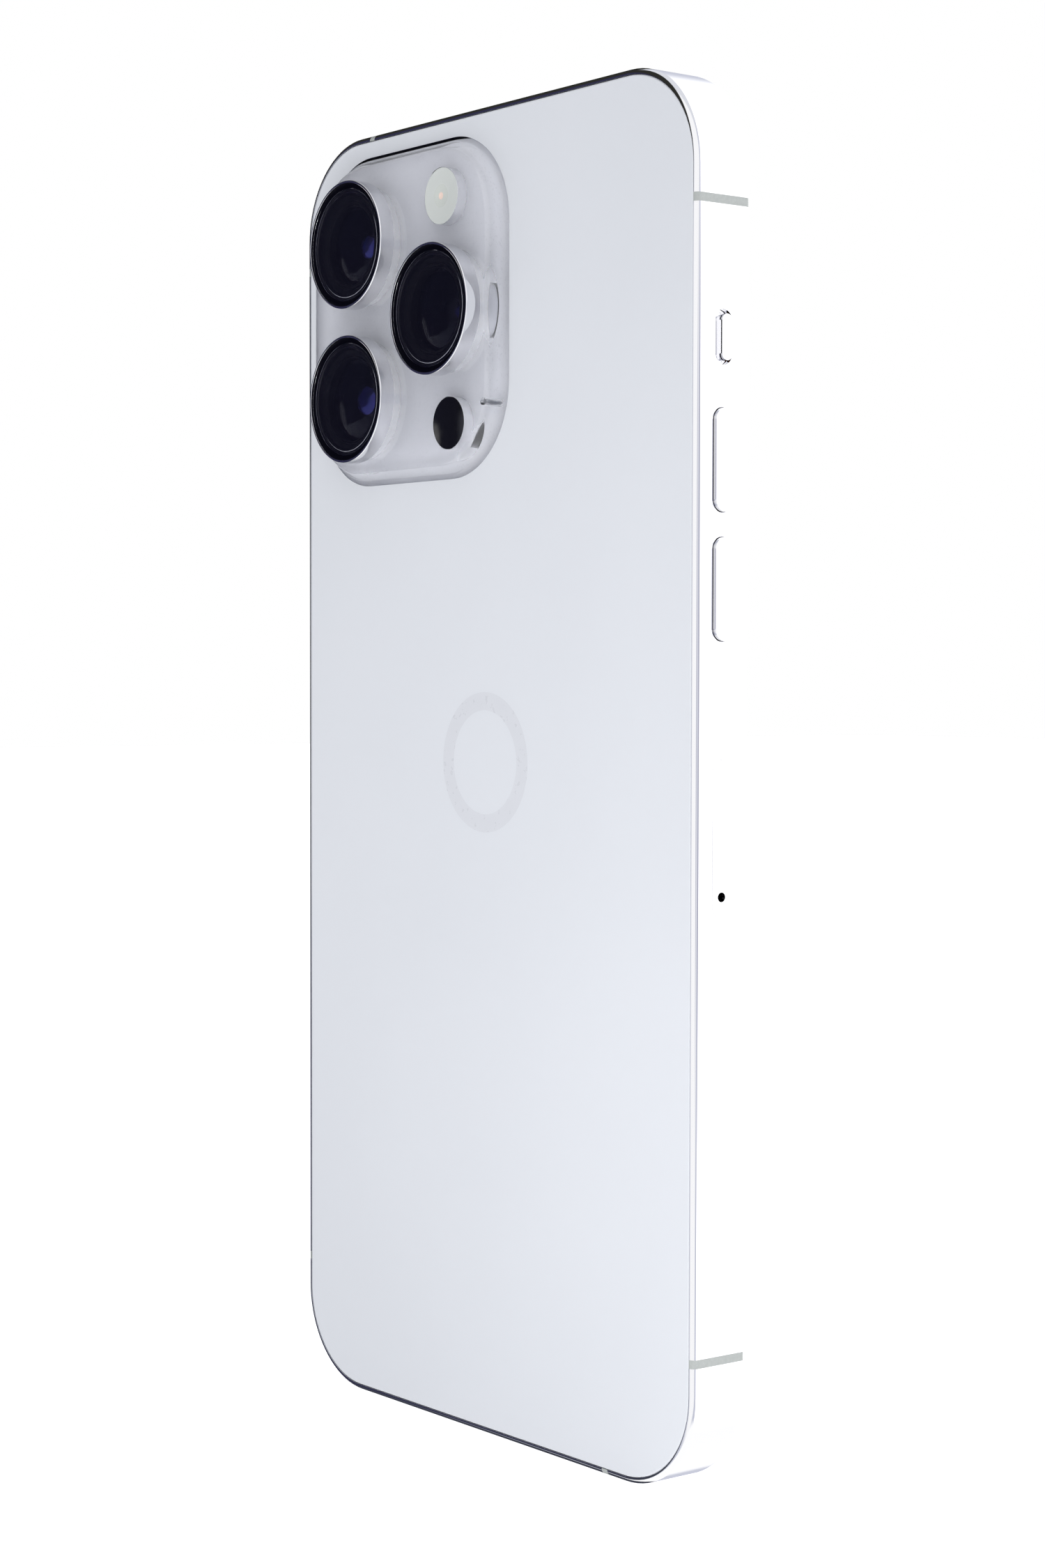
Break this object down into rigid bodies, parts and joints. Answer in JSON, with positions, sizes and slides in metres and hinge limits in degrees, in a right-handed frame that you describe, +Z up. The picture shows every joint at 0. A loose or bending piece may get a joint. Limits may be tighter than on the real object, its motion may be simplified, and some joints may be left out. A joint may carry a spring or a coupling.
{
  "type": "smartphone",
  "caption": "Tall smartphone with a flat polished steel band, frosted glass back, raised camera plateau with lens rings, side keys, card tray and charging port.",
  "frame": {"origin": "middle of the bounding box's underside: the phone stands on its bottom edge", "axes": "+Z up along the body, +Y out of the screen, -Y out of the back, +X towards the volume keys"},
  "size_m": [0.0784, 0.012, 0.1607],
  "materials": {
    "polished_steel": "mirror-polished stainless steel",
    "break_plastic": "pale grey moulded plastic",
    "stamped_steel": "stamped sheet",
    "frosted_glass": "frosted, painted pale blue-grey on the inside",
    "emblem_finish": "slightly darker frosted ring",
    "dark_glass": "black-backed polished glass",
    "clear_plastic": "clear moulded light guide",
    "black_glue": "soft black sealing layer",
    "black_metal": "black anodised",
    "black_plastic": "black moulded plastic",
    "black_mesh": "fine acoustic mesh",
    "panel_black": "unlit picture panel",
    "battery_wrap": "wrapped cell",
    "flex_ribbon": "polyimide ribbon",
    "circuit_board": "solder mask",
    "copper": "wound copper",
    "ferrite": "ferrite sheet",
    "magnet_nickel": "nickel plated",
    "tungsten": "sintered heavy alloy",
    "gold_contact": "gold plated",
    "card_plastic": "plain card"
  },
  "bodies": {
    "phone": {"steel_band": "polished_steel", "antenna_breaks": "break_plastic", "mid_plate": "stamped_steel", "back_glass": "frosted_glass", "back_glue": "black_glue", "back_emblem": "emblem_finish", "ring_tele": "polished_steel", "ring_main": "polished_steel", "ring_wide": "polished_steel", "cover_tele": "dark_glass", "cover_main": "dark_glass", "cover_wide": "dark_glass", "housing_tele": "black_metal", "housing_main": "black_metal", "housing_wide": "black_metal", "flash_window": "clear_plastic", "flash_board": "gold_contact", "depth_window": "dark_glass", "depth_sensor": "black_metal", "rear_mic": "black_mesh", "front_glass": "dark_glass", "front_gasket": "black_glue", "display_panel": "panel_black", "display_plate": "stamped_steel", "front_sensors": "black_metal", "earpiece": "black_plastic", "earpiece_mesh": "black_mesh", "battery": "battery_wrap", "battery_flex": "flex_ribbon", "logic_board": "circuit_board", "front_cans": "stamped_steel", "rear_cans": "stamped_steel", "board_screws": "polished_steel", "charging_coil": "copper", "coil_shield": "ferrite", "magnet_ring": "magnet_nickel", "alignment_magnet": "magnet_nickel", "speaker_box": "black_plastic", "speaker_mesh": "black_mesh", "motor_case": "stamped_steel", "charge_port": "stamped_steel", "port_contacts": "gold_contact", "port_flex": "flex_ribbon", "bottom_mic": "gold_contact", "bottom_screws": "polished_steel", "side_flex": "gold_contact", "volume_flex": "gold_contact", "sim_reader": "stamped_steel"},
    "side_button": {"side_button": "polished_steel"},
    "volume_up": {"volume_up": "polished_steel"},
    "volume_down": {"volume_down": "polished_steel"},
    "ring_switch": {"ring_switch": "polished_steel"},
    "sim_tray": {"sim_tray": "polished_steel", "sim_card": "card_plastic"},
    "eject_plunger": {"eject_plunger": "polished_steel"},
    "eject_lever": {"eject_lever": "polished_steel"},
    "vibration_mass": {"vibration_mass": "tungsten"},
    "barrel_tele": {"barrel_tele": "black_metal"},
    "barrel_main": {"barrel_main": "black_metal"},
    "barrel_wide": {"barrel_wide": "black_metal"}
  },
  "joints": [
    {"name": "side_button_press", "type": "slide", "parent": "phone", "child": "side_button", "axis": [1, 0, 0], "range_m": [0, 0.0003], "stiffness_N_per_m": 3000, "springref_m": -0.0003},
    {"name": "volume_up_press", "type": "slide", "parent": "phone", "child": "volume_up", "axis": [-1, 0, 0], "range_m": [0, 0.0003], "stiffness_N_per_m": 3000, "springref_m": -0.0003},
    {"name": "volume_down_press", "type": "slide", "parent": "phone", "child": "volume_down", "axis": [-1, 0, 0], "range_m": [0, 0.0003], "stiffness_N_per_m": 3000, "springref_m": -0.0003},
    {"name": "ring_switch_slide", "type": "slide", "parent": "phone", "child": "ring_switch", "axis": [0, -1, 0], "range_m": [0, 0.00071]},
    {"name": "sim_tray_slide", "type": "slide", "parent": "phone", "child": "sim_tray", "axis": [1, 0, 0], "range_m": [0, 0.018]},
    {"name": "eject_plunger_push", "type": "slide", "parent": "phone", "child": "eject_plunger", "axis": [-1, 0, 0], "range_m": [0, 0.001]},
    {"name": "eject_lever_turn", "type": "hinge", "parent": "phone", "child": "eject_lever", "pos_m": [0.01945, 0.00209, 0.07175], "axis": [0, 1, 0], "range_deg": [0, 16]},
    {"name": "vibration_shake", "type": "slide", "parent": "phone", "child": "vibration_mass", "axis": [1, 0, 0], "range_m": [-0.0008, 0.0008], "stiffness_N_per_m": 4000},
    {"name": "focus_tele", "type": "slide", "parent": "phone", "child": "barrel_tele", "axis": [0, -1, 0], "range_m": [-0.0002, 0.0002], "stiffness_N_per_m": 800},
    {"name": "focus_main", "type": "slide", "parent": "phone", "child": "barrel_main", "axis": [0, -1, 0], "range_m": [-0.0002, 0.0002], "stiffness_N_per_m": 800},
    {"name": "focus_wide", "type": "slide", "parent": "phone", "child": "barrel_wide", "axis": [0, -1, 0], "range_m": [-0.0002, 0.0002], "stiffness_N_per_m": 800}
  ],
  "couplings": [
    {"joint": "eject_lever_turn", "follows": "eject_plunger_push", "rad_per_m": 250}
  ]
}
